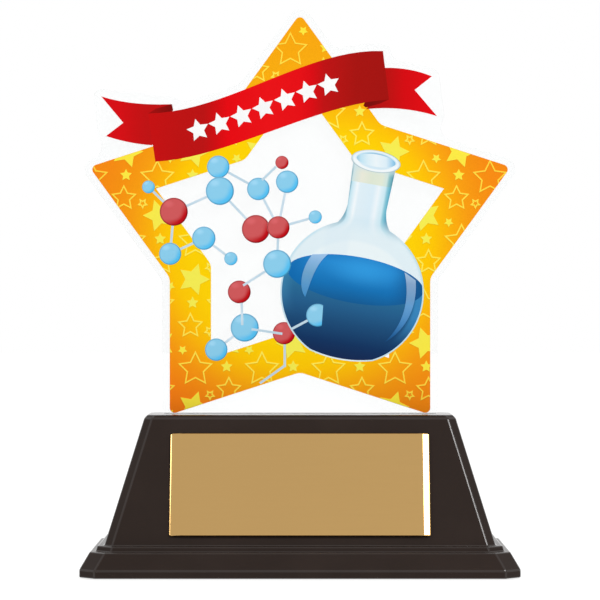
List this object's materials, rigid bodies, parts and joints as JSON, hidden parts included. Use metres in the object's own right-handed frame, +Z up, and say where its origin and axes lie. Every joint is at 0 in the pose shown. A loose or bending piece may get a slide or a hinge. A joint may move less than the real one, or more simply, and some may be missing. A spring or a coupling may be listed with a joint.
{
  "type": "star trophy",
  "caption": "Star trophy: a clear acrylic star with a printed yellow border, ribbon, flask and molecule, standing in a black stepped base with a blank gold engraving plate.",
  "frame": {"origin": "centre of the rectangle that the trophy stands on, at the underside of its foot pads", "axes": "+Z up, -Y towards the front with the engraving plate and the print, +X to the viewer's right"},
  "size_m": [0.1074, 0.0536, 0.14],
  "materials": {
    "base_plastic": "glossy black-brown moulded polystyrene",
    "cover_plastic": "matt black moulded plastic",
    "screw_steel": "zinc-plated steel",
    "foot_rubber": "matt black rubber",
    "ballast_steel": "plain steel plate",
    "gold_aluminium": "satin gold anodised sheet",
    "adhesive": "acrylic adhesive",
    "clear_acrylic": "clear polished acrylic",
    "white_ink": "white printed ink",
    "border_ink": "yellow to orange printed ink",
    "pale_yellow_ink": "pale yellow printed ink",
    "ribbon_ink": "red printed ink",
    "dark_ribbon_ink": "dark red printed ink",
    "bond_ink": "pale blue-grey printed ink",
    "blue_atom_ink": "light blue printed ink",
    "red_atom_ink": "dark red printed ink",
    "glass_ink": "pale blue-white printed ink",
    "neck_shade_ink": "pale straw printed ink",
    "rim_ink": "light blue printed ink",
    "liquid_ink": "dark blue printed ink",
    "surface_ink": "bright blue printed ink",
    "highlight_ink": "light blue printed ink"
  },
  "bodies": {
    "root": {"base_shell": "base_plastic", "bottom_cover": "cover_plastic", "cover_screws": "screw_steel", "foot_pads": "foot_rubber", "ballast_plate": "ballast_steel", "ballast_screws": "screw_steel", "engraving_plate": "gold_aluminium", "plate_tape": "adhesive", "acrylic_plate": "clear_acrylic", "tab_adhesive": "adhesive", "white_underprint": "white_ink", "star_border_print": "border_ink", "border_outline_stars": "pale_yellow_ink", "border_filled_stars": "pale_yellow_ink", "ribbon_band": "ribbon_ink", "ribbon_left_tail": "ribbon_ink", "ribbon_right_tail": "ribbon_ink", "ribbon_folds": "dark_ribbon_ink", "ribbon_stars": "white_ink", "molecule_bonds": "bond_ink", "blue_atoms": "blue_atom_ink", "red_atoms": "red_atom_ink", "flask_glass": "glass_ink", "flask_neck_shade": "neck_shade_ink", "flask_rim": "rim_ink", "flask_mouth": "rim_ink", "flask_liquid": "liquid_ink", "flask_liquid_surface": "surface_ink", "flask_highlights": "highlight_ink"}
  },
  "joints": []
}
